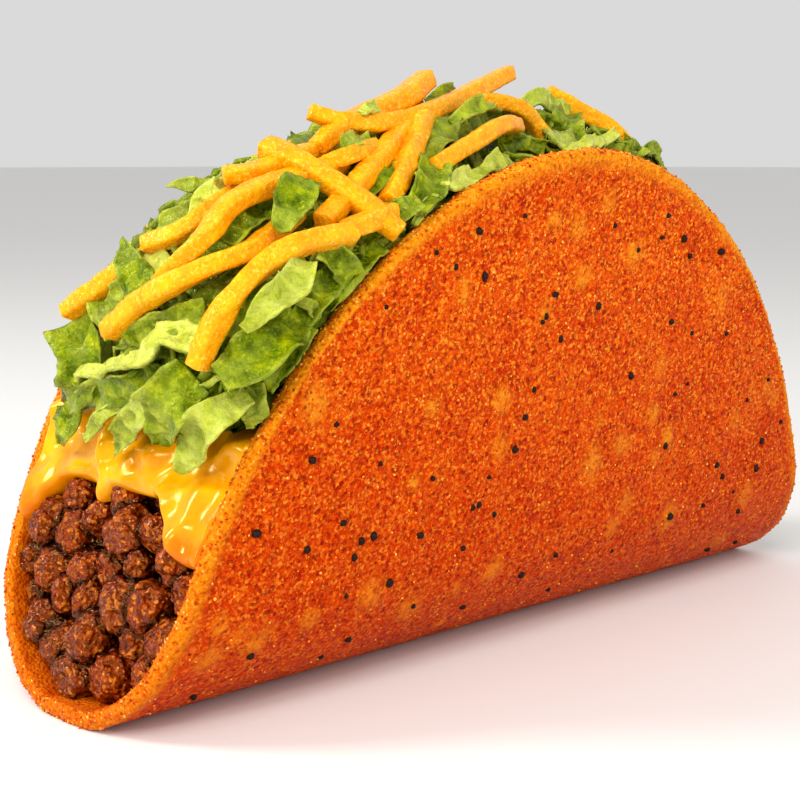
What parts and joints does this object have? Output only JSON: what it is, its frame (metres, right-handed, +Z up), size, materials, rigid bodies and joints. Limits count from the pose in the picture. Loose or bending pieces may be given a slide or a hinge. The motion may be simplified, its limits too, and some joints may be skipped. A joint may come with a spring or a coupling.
{
  "type": "taco",
  "caption": "Hard-shell taco standing on its fold, filled with minced beef, cheese sauce, shredded lettuce and cheese shreds.",
  "frame": {"origin": "middle of the flat spot under the fold, on the surface that the taco stands on", "axes": "+X along the fold, +Y across it from wall to wall, +Z up"},
  "size_m": [0.14, 0.0572, 0.0845],
  "materials": {
    "shell": null,
    "beef": null,
    "cheese_sauce": null,
    "lettuce": null,
    "cheese_shreds": null
  },
  "bodies": {
    "root": {"shell": "shell", "beef": "beef", "cheese_sauce": "cheese_sauce", "lettuce": "lettuce", "cheese_shreds": "cheese_shreds"}
  },
  "joints": []
}
